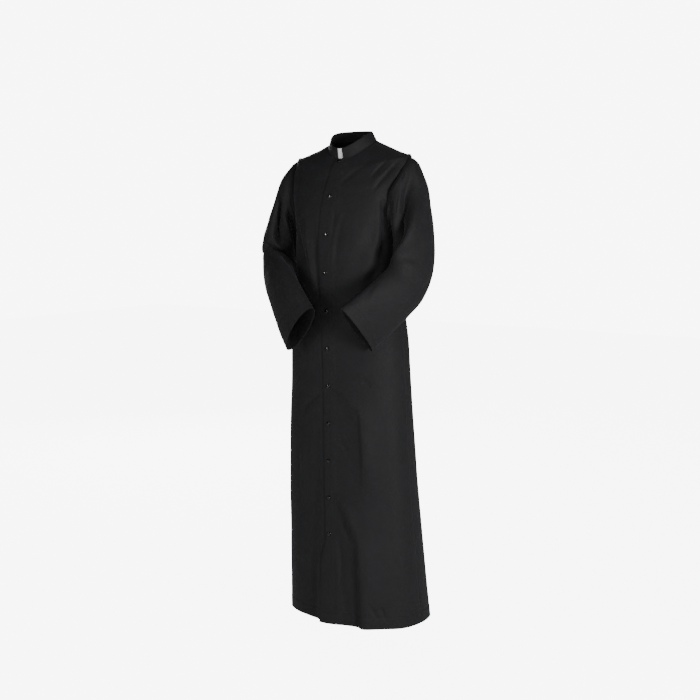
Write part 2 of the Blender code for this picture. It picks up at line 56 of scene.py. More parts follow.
LAP_EASE = 0.012  # width over which a front steps over, or under, the other
LAP_STEP = (CLOTH + 2 * SEAM_GAP) / 2  # the left front rises and the right front sinks by this

SNAP_PITCH = 0.113  # along the front edge
SNAP_COUNT = 11
SNAP_FIRST = 0.0085  # from the neck seam to the first snap
SNAP_RADIUS = 0.006
SNAP_HEIGHT = 0.0032
SNAP_OFF = 0.0002  # from the cloth to the cap

LAST_SNAP = -1.175  # ring height of the last snap, below which the fronts part
SWING_LEFT, SWING_RIGHT = 0.012, -0.004  # how far out each front's edge has swung at the hem
SWING_REACH, SWING_EASE = 0.060, 0.080  # how far from the centre it ends, and over what width

COLLAR_HEIGHT = 0.031
COLLAR_TOP_HALF_WIDTH, COLLAR_TOP_HALF_DEPTH = 0.062, 0.064
COLLAR_CLEARANCE = 0.0004  # outside the fronts and the back, where their walls lean
COLLAR_NOTCH = 0.019  # width of the gap that shows the tab
STEP_REACH, STEP_EASE = 0.070, 0.040  # how far from the centre the collar clears the fronts' lap
TAB_WIDTH = 0.040
TAB_HEIGHT = 0.029
TAB_THICKNESS = 0.001

# Armhole: an ellipse in ring height and angle round the body, between armpit and shoulder.
ARMHOLE_MIDDLE = (ARMPIT + SHOULDER) / 2
ARMHOLE_HALF = (SHOULDER - ARMPIT) / 2
ARMHOLE_FRONT = radians(29)  # reach in front of the side seam
ARMHOLE_BACK = radians(27)
ARMHOLE_POINTS = 720  # on the line that is followed round it
SIDE = radians(90)

SLEEVE_METRES = 0.413 / TURN  # round a sleeve, for each radian
SLEEVE_SEAM = radians(200)  # round the sleeve
PATH_POINTS = 24  # round each section, to measure the way along a sleeve

# ---- Sizes of what only shows close up ----
HEM_TURN = 0.036  # the turned-up hem
CUFF_TURN = 0.030  # the turned-up cuff
PLACKET_STITCH = 0.0175  # the left front's stitch line, from the centre line
SEAM_DIP, SEAM_WIDTH = 0.0011, 0.0026  # how the cloth turns in at a seam
SEAM_LAP = 0.001  # how far the cloth's middle reaches past its edge, within a seam
RELIEF_EASE = 0.012  # over which the cloth's unevenness dies out at a seam
ALLOWANCE = (0.008, 0.004, 0.001)  # rings of the sleeve's turned-back cloth, from the armhole
FREE_EDGE = 0.42  # how far a free edge is rounded, as a share of the cloth's thickness
# Points lie closer together within these
NEAR_SEAM, NEAR_UNDER_SEAM, NEAR_STITCH, NEAR_EDGE = 0.008, 0.006, 0.003, 0.004
SMALL = 1e-3  # a step that finds a surface's slope

# A line of stitches: how deep and how wide it presses in, and how much the doubled cloth adds
HEM_LINE = (0.0006, 0.0018, 0.0004)
CUFF_LINE = (0.0005, 0.0018, 0.0004)
PLACKET_LINE = (0.0004, 0.0013, 0.0002)
DOUBLED_EASE = 0.004  # width over which the doubled cloth comes in
SLEEVE_SEAM_LINE = (0.0009, 0.0016)  # depth and width
FOLDS_BEFORE = 0.003  # how far before the armhole a sleeve's folds start to rise
# Fullness at the shoulder: rise, from the seam, width, and how it fades towards the underarm
SLEEVE_HEAD = (0.0008, 0.010, 0.009, 1.5, 0.2)
PUCKER_REACH, PLACKET_PUCKER_REACH = 0.012, 0.010  # from a line of stitches
FINE_FROM, FINE_EASE = -0.36, 0.1  # where the body's fine unevenness comes in, going up

COLLAR_CORNER = 0.004  # radius of the collar's front corners
COLLAR_UNDER = -0.09  # share of its height by which the collar laps over the neck seam
COLLAR_TUCK = 0.0007  # how far it turns in there
COLLAR_NEAR = (0.18, 0.80)  # shares of its height outside which rows lie closer together
TAB_FROM, TAB_OVER = 0.04, 0.06  # shares of the collar's height: the tab's start, and its excess
COLLAR_LINE = (0.0005, 0.0011)  # its stitches' depth and width
COLLAR_ROUND = (0.0003, 0.0016)  # how far its edge turns in, and over what width
COLLAR_STITCH = 0.0045  # from the collar's edge
COLLAR_STITCH_BEND = 0.004  # radius of the stitch line's corners
STITCH_PITCH, STITCH_LENGTH, THREAD = 0.003, 0.0024, 0.00022
PLACKET_TOP = -0.004  # where its stitches end
HEM_FROM, HEM_TO = 0.006, 0.002  # from a panel's sides to its hem's stitches

# Seeded unevenness. Depth and size in mm, stretch and shift (m) across and along, seed.
UNEVEN = {
    "body_broad": (1.0, 55, 1, 0.45, 3, 5, 11),
    "body_fine": (0.6, 26, 1, 1, 3, 5, 12),
    "hem": (0.4, 12, 1, 0.3, 0, 0, 13),
    "side_seam": (0.5, 14, 0.3, 1, 0, 0, 14),
    "placket": (0.4, 11, 0.4, 1, 0, 0, 15),
    "sleeve_broad": (0.9, 45, 1, 1, 0, 3, 21),
    "sleeve_fine": (0.5, 22, 1, 1, 0, 7, 31),
    "sleeve_seam": (0.5, 13, 0.3, 1, 0, 0, 41),
    "collar": (0.4, 20, 0.07, 0.03, 0, 0, 51),
}
LATTICE = 64  # random values each way, before they repeat

# ---- Studio and camera ----
CLOTH_COLOUR = (0.0130, 0.0127, 0.0141)
TWILL_SCALE = 444.0  # ribs 1 mm apart
FLOOR = -1.55
FLOOR_HALF = 9.0
WORLD_LIGHT = 0.019  # how bright the studio is to the cloth
WORLD_SEEN, FLOOR_SEEN = 8.0, 7.4  # and how bright its white surroundings show
AIM = Vector((0, 0, -0.6))  # where the lights point
# name, across, back and up in metres from the neck as the camera sees it, size, watts
LIGHTS = (
    ("key", 2.3, 3.4, -0.2, 1.0, 126),
    ("front", -0.1, 4.2, -0.2, 0.9, 22),
    ("top", -0.5, 3.2, 1.9, 1.2, 25.6),
    ("right", 3.4, -1.9, -0.5, 1.4, 3.2),
    ("glint_top", -3.10, 1.04, 1.29, 0.35, 4.8),
    ("glint_high", -3.3, 1.33, 0.32, 0.35, 12.8),
    ("glint_low", -3.33, 1.27, -0.72, 0.3, 9),
    ("behind", -1.1, -3.9, 0.4, 1.2, 80),
)
CAMERA_TURN, CAMERA_TILT = radians(34.0), radians(6.86)
CAMERA_DISTANCE, CAMERA_HEIGHT = 4.0, -0.15
CAMERA_LENS, CAMERA_SHIFT = 67.94, -0.00214
RIGHT = Vector((cos(CAMERA_TURN), sin(CAMERA_TURN), 0))  # as the camera sees it
AHEAD = Vector((-sin(CAMERA_TURN), cos(CAMERA_TURN), 0))


# ---- Tables, in millimetres and degrees ----
NOT_LENGTHS = ("boxiness", "across_1", "across_2", "across_3", "out_azimuth", "out_rise")


def table(kind, text):
    """Rows of a kind of named tuple, one a line, with their lengths brought to metres."""
    factors = [1 if field in NOT_LENGTHS else 1000 for field in kind._fields[1:]]
    rows = [line.split() for line in text.strip().splitlines()]
    return [
        kind(name, *(float(cell) / factor for cell, factor in zip(cells, factors)))
        for name, *cells in rows
    ]


# The body's rings, from the hem up to the neck seam.
# height: of the ring's sides. half_width: centre to side. front, back: its reach forwards and
# backwards. front_drop, back_drop, right_drop: how far its front, back and right side hang below
# the height, as the right shoulder is carried a little lower. boxiness: 0 is an ellipse, and 0.05
# has the squarer corners of a chest. lap: how far each front passes the centre line.
Ring = namedtuple(
    "Ring", "name height half_width front back front_drop back_drop right_drop boxiness lap"
)
RINGS = table(Ring, """
hem -1461 226 114 209 -3 0 -3 0.01 32
below_snaps -1255 218.5 118.5 173.5 0 0 -2 0.01 26
shin -1200 216 119 165 0 0 -1 0.01 13
knee -980 208 121 131 0 0 0 0.01 16
thigh -780 201 123 114 0 0 0 0.015 16
hip -620 195 127 110 0 0 0 0.02 17
waist -440 170 134 110 0 0 0 0.018 21
ribs -350 165 139 114 0 0 0 0.026 23
armpit -275 168 131 120 0 0 0 0.042 26
blades -200 179 120 123 6 6 3 0.042 26
chest -120 190 104 116 28 22 6 0.03 23
collarbone -76 197 91 109 40 30 7 0.008 20
shoulder -39 200 78 99 47 34 7 -0.014 18
slope -27 166 72.5 91 50 28 7 -0.014 17
slope_top -14 124 66 83 53 16 6 -0.008 16
neck_side -4 90 61 75 56 5 2 0 15
neck 0 76 58 72 57 0 0 0 14
""")

# Soft folds. Each is a ridge, or with a negative rise a trough, along a curve from point 1 to
# point 3 that bends towards point 2. across_*: the angle round the body from the front centre to
# the wearer's left, or round a sleeve from its outer side by its front. along_*: the ring height
# on the body, or the distance from the armhole on a sleeve. near_width, far_width: its spread
# towards smaller and larger angles. A fold that ends at -1561 runs out through the hem.
Fold = namedtuple(
    "Fold", "name across_1 along_1 across_2 along_2 across_3 along_3 rise near_width far_width"
)
FOLD_STEPS = 17  # points along a fold's line
FOLD_FADE = 0.35  # share of its length over which a fold rises from nothing
FOLD_REACH = 2.6  # widths from its line, beyond which a fold is too low to count

# The folds of the solids, and the finer creases of the scene alone
BODY_FOLDS = table(Fold, """
snap_drag 8 -1055 34 -1120 28 -1561 10 18 70
hip_drag 6 -745 40 -765 29 -1100 6 18 45
side_left 66 -700 64 -1100 62 -1561 6 45 45
side_right -64 -660 -60 -1100 -60 -1561 6 45 45
front_right -22 -900 -24 -1200 -25 -1561 -6 40 30
chest_left 58 -220 46 -300 26 -420 -6 26 30
chest_right -54 -220 -44 -320 -30 -460 -5 30 26
back_left 152 -400 148 -900 145 -1561 12 45 45
back_right -152 -400 -149 -900 -146 -1561 12 45 45
back_side_left 122 -620 121 -1000 119 -1561 8 40 40
back_side_right -120 -600 -119 -1000 -117 -1561 10 40 40
back_centre 178 -550 180 -1000 181 -1561 -14 40 40
""")
BODY_CREASES = table(Fold, """
neck_drag_1 7 -98 13 -66 23 -42 -3 7 7
neck_drag_2 18 -52 30 -29 54 -15 -2.8 7 7
shoulder_1 34 -86 43 -52 56 -26 -3.6 5 7
shoulder_ridge 36 -110 47 -72 60 -45 2.2 7 7
shoulder_2 38 -142 50 -84 68 -36 -4.8 6 8
armhole_drag 50 -150 66 -220 70 -350 -10 9 10
armhole_ridge 52 -215 58 -270 58 -330 3 12 10
armhole_fill_left 84 -40 65 -66 58 -150 12 32 30
armhole_fill_right -78 -50 -62 -90 -62 -210 5 30 26
chest_side 68 -250 70 -370 36 -450 -9 20 18
chest_1 6 -170 6 -240 7 -310 -2.8 5 8
chest_ridge 13 -200 8 -270 9.5 -350 0.9 7 7
chest_2 17 -200 9 -260 12 -400 -2.8 6 9
right_chest_1 -14 -255 -11 -360 -9 -475 -4 7 8
right_chest_ridge -27 -215 -20 -330 -14 -455 6 12 11
right_chest_2 -46 -225 -38 -310 -24 -385 -6.5 13 12
hip_crease_1 4 -742 20 -754 32 -818 4.2 5 18
hip_crease_2 27 -768 33 -850 30.5 -1060 7 5.5 30
hip_pucker 31 -700 36 -712 42 -722 -2 5 5
thigh_crease 8 -882 13 -902 20 -925 -3 6 7
snap_crease_1 3 -1056 19 -1088 26.5 -1235 5.2 6 18
snap_crease_2 25.5 -1140 27 -1290 26 -1561 10 7 34
snap_crease_3 9 -1118 14 -1148 20 -1205 -3.6 6 6
last_snap_1 7 -1180 12 -1235 10 -1370 -2.4 6 8
last_snap_2 13 -1330 14 -1390 12 -1430 -2 8 9
hem_tuck_1 32 -1375 37 -1405 41 -1440 -2.8 6 6
hem_tuck_2 42 -1385 45 -1410 48 -1440 -2.4 6 6
right_skirt_1 -13 -900 -15 -1150 -16 -1561 -5 16 14
right_skirt_ridge -31 -900 -30 -1010 -31 -1140 3 11 11
right_hip_drag -5 -745 -18 -765 -34 -830 -3 7 7
side_drag_left 92 -420 100 -470 112 -560 -4 12 12
side_drag_right -92 -410 -101 -480 -110 -570 -4 12 12
blade_left 122 -100 136 -150 146 -270 -5 10 13
blade_right -120 -105 -133 -160 -148 -260 -5 13 10
back_waist_1 116 -350 138 -375 158 -430 -4.5 9 11
back_waist_2 -118 -370 -140 -405 -160 -420 -4.5 11 9
back_waist_3 172 -395 185 -420 200 -410 -3 8 9
nape_drag_left 165 -30 150 -55 132 -70 -2.6 7 8
nape_drag_right -163 -28 -150 -58 -130 -68 -2.6 8 7
back_skirt_1 160 -900 163 -1150 162 -1561 -5 14 16
back_skirt_2 -134 -1000 -136 -1200 -134 -1561 -4.5 14 14
back_skirt_3 133 -1060 133 -1220 131 -1561 -4.5 14 14
""")
ALL_BODY_FOLDS = BODY_FOLDS + BODY_CREASES
# On each sleeve, the first four are the solid's
LEFT_SLEEVE_FOLDS = table(Fold, """
front_valley 14 60 95 90 128 250 -9 20 20
front_ridge 30 90 84 140 104 290 6 22 22
elbow_crease 110 235 145 245 190 260 -7 18 18
back_drag 265 100 240 170 225 260 -6 20 22
cap_flat 4 44 40 42 72 62 -7 18 18
cap_front 74 10 98 14 124 64 -8 6 7
cap_crease 66 40 84 44 100 78 -3.5 5 6
cap_head 330 16 10 16 48 20 6.5 12 12
cap_fine 30 14 46 18 64 30 -1.4 4 5
front_hollow -12 60 110 46 112 210 -24 27 18
ridge_sharp -8 62 82 94 90 270 18.5 32 12
elbow_fill 104 230 56 250 6 242 5.5 24 24
inner_hollow 86 80 104 92 112 185 -11 13 10
under_arm 116 110 118 160 126 250 -9 9 10
cap_dent 8 36 26 44 44 62 -1.6 10 12
forearm_line 96 355 76 395 48 440 -3 10 14
elbow_out 318 245 332 262 350 268 -3 12 14
elbow_back_1 300 205 275 235 245 248 -5.5 10 13
elbow_back_2 305 250 280 270 240 272 -5 10 12
inner_elbow 125 260 160 272 205 268 -5.5 10 12
cuff_back 270 380 255 420 250 470 -3.5 12 14
cap_back 300 18 275 40 262 90 -5.5 10 12
""")
RIGHT_SLEEVE_FOLDS = table(Fold, """
front_valley 74 50 105 100 138 180 -7 18 20
elbow_crease 50 185 110 225 165 260 -12 20 20
elbow_ridge 60 250 110 280 150 330 4 24 24
back_drag 268 110 242 180 228 280 -6 20 22
cap_fullness 24 28 70 20 96 40 7 16 16
cap_head 330 14 4 14 40 18 3.5 10 12
cap_front 86 26 164 44 184 230 -11 6 6
front_ridge 84 56 150 66 168 215 16 13 12
front_deep 50 34 90 82 144 190 -24 11 12
front_outer 34 110 58 140 92 215 -4 12 14
elbow_deep 50 176 118 184 172 262 -15 14 13
forearm_top 96 270 112 350 122 450 -6 13 12
forearm_line 44 330 40 400 22 480 -3.5 10 12
inner_fullness 160 200 184 285 208 340 8 30 30
elbow_out 350 215 12 225 36 214 -4 10 12
elbow_back_1 302 200 275 235 245 250 -5.5 10 13
elbow_back_2 306 262 280 280 242 285 -5 10 12
cuff_back 272 430 258 480 252 530 -3.5 12 14
cap_back 300 18 275 40 262 90 -5.5 10 12
""")

# x, y, z: centre of the section. out_azimuth, out_rise: direction, from +X about +Z and above
# level, from the centre to the sleeve's outer side. half_breadth: centre to outer side.
# half_depth: centre to the side that is its front at first and its top at the wrist.
Section = namedtuple("Section", "name x y z out_azimuth out_rise half_breadth half_depth")
LEFT_ARM = table(Section, """
cap 204 -4 -185 0 70 95.5 70
cap_low 218 -8 -234 0 45 62.2 77
biceps 228 -12 -290 0 12 53 78
upper_arm 231 -18 -335 -5 2 52 79
elbow_top 231 -30 -375 -10 -3 51 80
elbow 226 -52 -414 -14 -8 50 82
below_elbow 212 -90 -450 -17 -12 46 84
forearm 181 -143 -500 -20 -14 36 89
cuff 143 -185 -547 -20 -15 28 94
""")
RIGHT_ARM = table(Section, """
cap -204 -4 -188 180 70 95.5 70
cap_low -224 -10 -236 180 45 62.2 77
biceps -243 -15 -290 180 14 53 78
upper_arm -252 -18 -335 186 4 52 79
elbow_top -249 -30 -376 196 0 51 80
elbow -223 -67 -412 210 3 49 82
below_elbow -167 -123 -446 224 6 42 85
forearm -108 -164 -502 236 8 32 90
cuff -57 -188 -555 240 9 26 94
""")


# ---- The part's shapes, as its solids have them ----
def hermite(t, span, low, high, low_slope, high_slope):
    """The cubic from low to high over a span that leaves and arrives with these slopes."""
    return (
        low * (1 + 2 * t) * (1 - t) ** 2
        + low_slope * span * t * (1 - t) ** 2
        + high * t * t * (3 - 2 * t)
        + high_slope * span * t * t * (t - 1)
    )


def curve(xs, ys):
    """A smooth function through the points, with no overshoot between them."""
    xs, ys = np.array(xs), np.array(ys)
    chords = np.diff(ys) / np.diff(xs)
    products, sums = chords[:-1] * chords[1:], chords[:-1] + chords[1:]
    inner = np.where(products > 0, 2 * products / (sums + 1e-30), 0.0)
    slopes = np.concatenate([chords[:1], inner, chords[-1:]])

    def value(x):
        x = np.clip(x, xs[0], xs[-1])
        i = np.clip(np.searchsorted(xs, x, side="right") - 1, 0, len(xs) - 2)
        span = xs[i + 1] - xs[i]
        return hermite((x - xs[i]) / span, span, ys[i], ys[i + 1], slopes[i], slopes[i + 1])

    return value


_, HEIGHTS, *COLUMNS = zip(*RINGS)
HALF_WIDTH, FRONT, BACK, FRONT_DROP, BACK_DROP, RIGHT_DROP, BOXINESS, LAP = (
    curve(HEIGHTS, column) for column in COLUMNS
)
NECK_METRES = HALF_WIDTH(0.0)  # round the neck at its front, for each radian


def ease(t):
    """0 to 1, level at both ends."""
    t = np.clip(t, 0.0, 1.0)
    return t * t * (3 - 2 * t)


def bell(distance, width):
    return np.exp(-((distance / width) ** 2))


def half_turn(angle):
    """The same angle, brought to between -180 and 180 degrees."""
    return (angle + pi) % TURN - pi


def unit(vectors):
    return vectors / np.linalg.norm(vectors, axis=-1, keepdims=True)


def run_lengths(points):
    """The way along a line to each of its points."""
    return np.concatenate([[0], np.cumsum(np.linalg.norm(np.diff(points, axis=0), axis=1))])


def round_metres(height):
    """Metres round the body for each radian, about."""
    depth = (FRONT(height) + BACK(height)) / 2
    return np.sqrt((HALF_WIDTH(height) ** 2 + depth**2) / 2)


def fold_points(fold):
    """The three points' places across and along."""
    return np.radians(fold[1:6:2]), np.array(fold[2:7:2])


def one_fold(fold, across, along, scale):
    """One fold's rise at points near it, from their distance to its line."""
    t = np.linspace(0, 1, FOLD_STEPS)
    weights = np.array([(1 - t) ** 2, 2 * t * (1 - t), t**2])
    line_across, line_along = (points @ weights for points in fold_points(fold))
    px = half_turn(line_across - across[:, None]) * scale[:, None]
    py = line_along - along[:, None]
    dx, dy = np.diff(px, axis=1), np.diff(py, axis=1)
    share = np.clip(-(px[:, :-1] * dx + py[:, :-1] * dy) / (dx**2 + dy**2), 0, 1)
    qx, qy = px[:, :-1] + share * dx, py[:, :-1] + share * dy
    nearest = np.argmin(qx**2 + qy**2, axis=1)
    row = np.arange(len(across))
    qx, qy, share, dx, dy = (a[row, nearest] for a in (qx, qy, share, dx, dy))
    upward = 1.0 if fold.along_3 > fold.along_1 else -1.0
    far_side = (dx * qy - dy * qx) * upward > 0
    place = (nearest + share) / (FOLD_STEPS - 1)
    width = np.where(far_side, fold.far_width, fold.near_width)
    fade = ease(place / FOLD_FADE)
    if fold.along_3 > HEM:
        fade = fade * ease((1 - place) / FOLD_FADE)
    return fold.rise * fade * np.exp(-(qx**2 + qy**2) / width**2)


def fold_rise(folds, across, along, scale):
    """The folds' sum at places across (radians) and along a cloth; scale is metres a radian."""
    across, along, scale = np.broadcast_arrays(across, along, scale)
    total = np.zeros(across.shape)
    for fold in folds:
        angles, alongs = fold_points(fold)
        margin = FOLD_REACH * max(fold.near_width, fold.far_width)
        middle = (angles.min() + angles.max()) / 2
        away = np.abs(half_turn(across - middle)) - np.ptp(angles) / 2
        near = away * scale < margin
        near &= (along > min(alongs) - margin) & (along < max(alongs) + margin)
        if near.any():
            total[near] += one_fold(fold, across[near], along[near], scale[near])
    return total


def uneven(name, u, v, reseed=0):
    """Smooth, seeded unevenness at points u, v metres over a cloth."""
    depth, size, stretch_u, stretch_v, shift_u, shift_v, seed = UNEVEN[name]
    lattice = np.random.default_rng(seed + reseed).uniform(-1, 1, (LATTICE, LATTICE))
    u, v = (u * stretch_u + shift_u) * 1000 / size, (v * stretch_v + shift_v) * 1000 / size
    i, j = np.floor(u).astype(int), np.floor(v).astype(int)
    fu, fv = ease(u - i), ease(v - j)
    low, high = (
        lattice[i % LATTICE, k % LATTICE] * (1 - fu) + lattice[(i + 1) % LATTICE, k % LATTICE] * fu
        for k in (j, j + 1)
    )
    return depth / 1000 * (low * (1 - fv) + high * fv)


def body_point(height, side, rise=0.0):
    """A point of the body's outer surface, at a ring height and an angle from the front centre."""
    height, side = np.broadcast_arrays(height, side)
    q = BOXINESS(height)
    depth = (FRONT(height) + BACK(height)) / 2
    middle = (BACK(height) - FRONT(height)) / 2
    x = (HALF_WIDTH(height) + rise) * (np.sin(side) + q * np.sin(3 * side)) / (1 - q)
    y = middle - (depth + rise) * (np.cos(side) - q * np.cos(3 * side)) / (1 - q)
    z = height - FRONT_DROP(height) * ((1 + np.cos(side)) / 2) ** 3
    z = z - BACK_DROP(height) * ((1 - np.cos(side)) / 2) ** 3
    z = z - RIGHT_DROP(height) * ease(-np.sin(side))
    return np.stack([x, y, z], -1)


def folded_body(height, side, folds):
    return body_point(height, side, fold_rise(folds, side, height, round_metres(height)))


def out_of_body(height, side):
    """The way out of the body's cloth."""
    high, low, after, before = (
        folded_body(height + up, side + on, ALL_BODY_FOLDS)
        for up, on in ((SMALL, 0), (-SMALL, 0), (0, SMALL), (0, -SMALL))
    )
    return unit(np.cross(after - before, high - low))


def grid_normals(outer):
    """Outward directions of a grid of points whose rows go up and whose columns go round."""
    return unit(np.cross(np.gradient(outer, axis=1), np.gradient(outer, axis=0)))


def armhole_reach(height, reach):
    """How far round from the side seam the armhole has cut the panel away, at a ring height."""
    cosine = np.clip((height - ARMHOLE_MIDDLE) / ARMHOLE_HALF, -1, 1)
    return reach * np.sqrt(1 - cosine**2)


def front_offset(heights, across, side_sign):
    """The left front lies over the right one, and below the last snap the two part."""
    lap = LAP_STEP * ease((LAP(heights) + LAP_EASE - across) / LAP_EASE)
    below = ease((LAST_SNAP - heights) / (LAST_SNAP - HEM))
    near_edge = ease((SWING_REACH - across) / SWING_EASE)
    return side_sign * lap + below * near_edge * (SWING_LEFT if side_sign > 0 else SWING_RIGHT)


# ---- Body cloth ----
# A cloth: outer points and their normals by rows and columns, the place of each in metres across
# (u) and along (v) the cloth, and whether its last column meets its first.
Cloth = namedtuple("Cloth", "outer normals u v closed")


def stations(breaks, counts):
    """Numbers from break to break, each span cut into its count. Breaks may be arrays."""
    breaks = [np.asarray(place, float)[..., None] for place in breaks]
    parts = []
    for low, high, count in zip(breaks[:-1], breaks[1:], counts):
        t = np.arange(count) / count
        parts.append(low * (1 - t) + high * t)
    return np.concatenate(parts + breaks[-1:], axis=-1)


def panel_heights():
    """Ring heights of a panel's rows, closer at the hem, the turn-up and the neck seam."""
    turn_up = HEM + HEM_TURN
    breaks = (HEM, HEM + NEAR_EDGE, turn_up - NEAR_STITCH, turn_up + NEAR_STITCH, ARMPIT)
    skirt = stations(breaks, (3, 6, 5, 215))
    armhole = ARMHOLE_MIDDLE + ARMHOLE_HALF * np.cos(np.linspace(pi, 0, 76))
    shoulder = stations((SHOULDER, -0.006, 0.0), (20, 5))
    return np.concatenate([skirt[:-1], armhole, shoulder[1:]])


def groove(distance, depth, width):
    """A line pressed into the cloth by its stitches, with the cloth soft on both sides."""
    return -depth * bell(distance, width)


def seam_dip(distance):
    """Cloth turns in towards a seam."""
    return groove(np.maximum(distance, 0), SEAM_DIP, SEAM_WIDTH)


def stitched_edge(distance, depth, width, doubled):
    """A row of stitches, and the cloth thicker where the distance from it is below zero."""
    return groove(distance, depth, width) + doubled * ease(0.5 - distance / DOUBLED_EASE)


def body_relief(heights, sides):
    """Small relief all over the body: unevenness, hem turn-up, puckers at the side seams."""
    u = sides * round_metres(heights)
    relief = uneven("body_broad", u, heights)
    relief += uneven("body_fine", u, heights) * ease((heights - FINE_FROM) / FINE_EASE)
    hem = heights - (HEM + HEM_TURN)
    relief += stitched_edge(hem, *HEM_LINE)
    relief += uneven("hem", u, heights) * bell(hem, PUCKER_REACH)
    from_side = (np.abs(sides) - SIDE) * round_metres(heights)
    pucker = bell(from_side, PUCKER_REACH) * (heights < ARMPIT)
    return relief + pucker * uneven("side_seam", u, heights)


def body_cloth(heights, sides, u, seam_distance, side_sign=0):
    """A body panel's cloth: side_sign is 1 for the left front, -1 for the right, 0 for the back."""
    outer = folded_body(heights, sides, ALL_BODY_FOLDS)
    offset = body_relief(heights, sides) * ease(seam_distance / RELIEF_EASE)
    offset += seam_dip(seam_distance)
    if side_sign:
        across = u * side_sign
        offset += front_offset(heights, across, side_sign)
    if side_sign > 0:
        from_stitch = across - PLACKET_STITCH
        offset += stitched_edge(from_stitch, *PLACKET_LINE)
        offset += bell(from_stitch, PLACKET_PUCKER_REACH) * uneven("placket", across, heights)
    outer = outer + offset[..., None] * grid_normals(outer)
    return Cloth(outer, grid_normals(outer), u, heights, False)


def front_cloth(side_sign):
    """One of the fronts."""
    rows = panel_heights()
    q = BOXINESS(rows)
    scale = HALF_WIDTH(rows) * (1 + 3 * q) / (1 - q)  # metres round the front for each radian
    edge = SIDE - SEAM_GAP / 2 / round_metres(rows) - armhole_reach(rows, ARMHOLE_FRONT)
    edge, lap, stitch = edge * scale, LAP(rows), PLACKET_STITCH + 0 * rows
    near = NEAR_STITCH
    breaks = (-lap, near - lap, stitch - near, stitch + near, edge - NEAR_SEAM, edge)
    across = stations(breaks, (4, 11, 6, 108, 6))
    heights = np.broadcast_to(rows[:, None], across.shape)
    sides = across / scale[:, None] * side_sign
    distance = (edge[:, None] - across) * (round_metres(rows) / scale)[:, None]
    grids = (heights, sides, across * side_sign, distance)
    return body_cloth(*(grid[:, ::side_sign] for grid in grids), side_sign)


def back_cloth():
    rows = panel_heights()
    metres = round_metres(rows)
    start = SIDE + SEAM_GAP / 2 / metres + armhole_reach(rows, ARMHOLE_BACK)
    step, end = NEAR_SEAM / metres, TURN - start
    sides = stations((start, start + step, end - step, end), (6, 134, 6))
    heights = np.broadcast_to(rows[:, None], sides.shape)
    distance = np.minimum(sides - start[:, None], end[:, None] - sides) * metres[:, None]
    return body_cloth(heights, sides, (sides - pi) * metres[:, None], distance)


# ---- Sleeve cloth ----
def armhole_edge(arm_sign, turns):
    """The armhole's edge on the body: its points, the ways out of the body and into the hole."""
    fine = np.linspace(0, TURN, ARMHOLE_POINTS, endpoint=False)
    heights, forward = ARMHOLE_MIDDLE + ARMHOLE_HALF * np.cos(fine), np.sin(fine)
    sides = arm_sign * (SIDE - np.where(forward > 0, ARMHOLE_FRONT, ARMHOLE_BACK) * forward)
    points = folded_body(heights, sides, ALL_BODY_FOLDS)
    normals = out_of_body(heights, sides)
    along = unit(np.roll(points, -1, 0) - np.roll(points, 1, 0))
    inward = unit(np.cross(normals, along)) * arm_sign
    at = turns % TURN / TURN * ARMHOLE_POINTS
    i = np.floor(at).astype(int)
    low, high, part = i % ARMHOLE_POINTS, (i + 1) % ARMHOLE_POINTS, (at - i)[:, None]
    return [a[low] * (1 - part) + a[high] * part for a in (points, normals, inward)]


def sleeve_start(arm_sign, turns):
    """The sleeve's first ring: the armhole, moved the seam's gap into the hole and off the body."""
    points, normals, inward = armhole_edge(arm_sign, turns)
    under = (1 - np.cos(turns))[:, None] / 2
    return points + inward * SEAM_GAP * (1 + under) + normals * 3 * SEAM_GAP * under


def seam_allowance(arm_sign, turns):
    """Rings of the sleeve's cloth that lie turned back under the body's cloth, from their edge."""
    points, normals, inward = armhole_edge(arm_sign, turns)
    back = np.array(ALLOWANCE)[:, None, None]
    rings = points - inward * back - normals * (CLOTH + SEAM_GAP - seam_dip(back))
    return rings, np.broadcast_to(unit(normals), rings.shape)


def arm_ring(section, tangent, arm_sign, turns):
    """The points of one section of a sleeve, from its outer side round by its front."""
    azimuth, rise = radians(section.out_azimuth), radians(section.out_rise)
    level = cos(rise)
    out = np.array([level * cos(azimuth), level * sin(azimuth), sin(rise)])
    front = unit(np.cross(tangent, out)) * arm_sign
    breadth = section.half_breadth * np.cos(turns)[:, None] * out
    depth = section.half_depth * np.sin(turns)[:, None] * front
    return np.array([section.x, section.y, section.z]) + breadth + depth


def through(knots, keys, at):
    """Points on the smooth curves through the key rings, at places along the sleeve."""
    spans = np.diff(knots)[:, None, None]
    chords = np.diff(keys, axis=0) / spans
    inner = (chords[:-1] * spans[1:] + chords[1:] * spans[:-1]) / (spans[1:] + spans[:-1])
    slopes = np.concatenate([chords[:1], inner, chords[-1:]])
    i = np.clip(np.searchsorted(knots, at, side="right") - 1, 0, len(knots) - 2)
    t = (at - knots[i])[:, None, None] / spans[i]
    return hermite(t, spans[i], keys[i], keys[i + 1], slopes[i], slopes[i + 1])


def sleeve_normals(outer, arm_sign):
    round_it = np.roll(outer, -1, 1) - np.roll(outer, 1, 1)
    return unit(np.cross(round_it, np.gradient(outer, axis=0))) * arm_sign


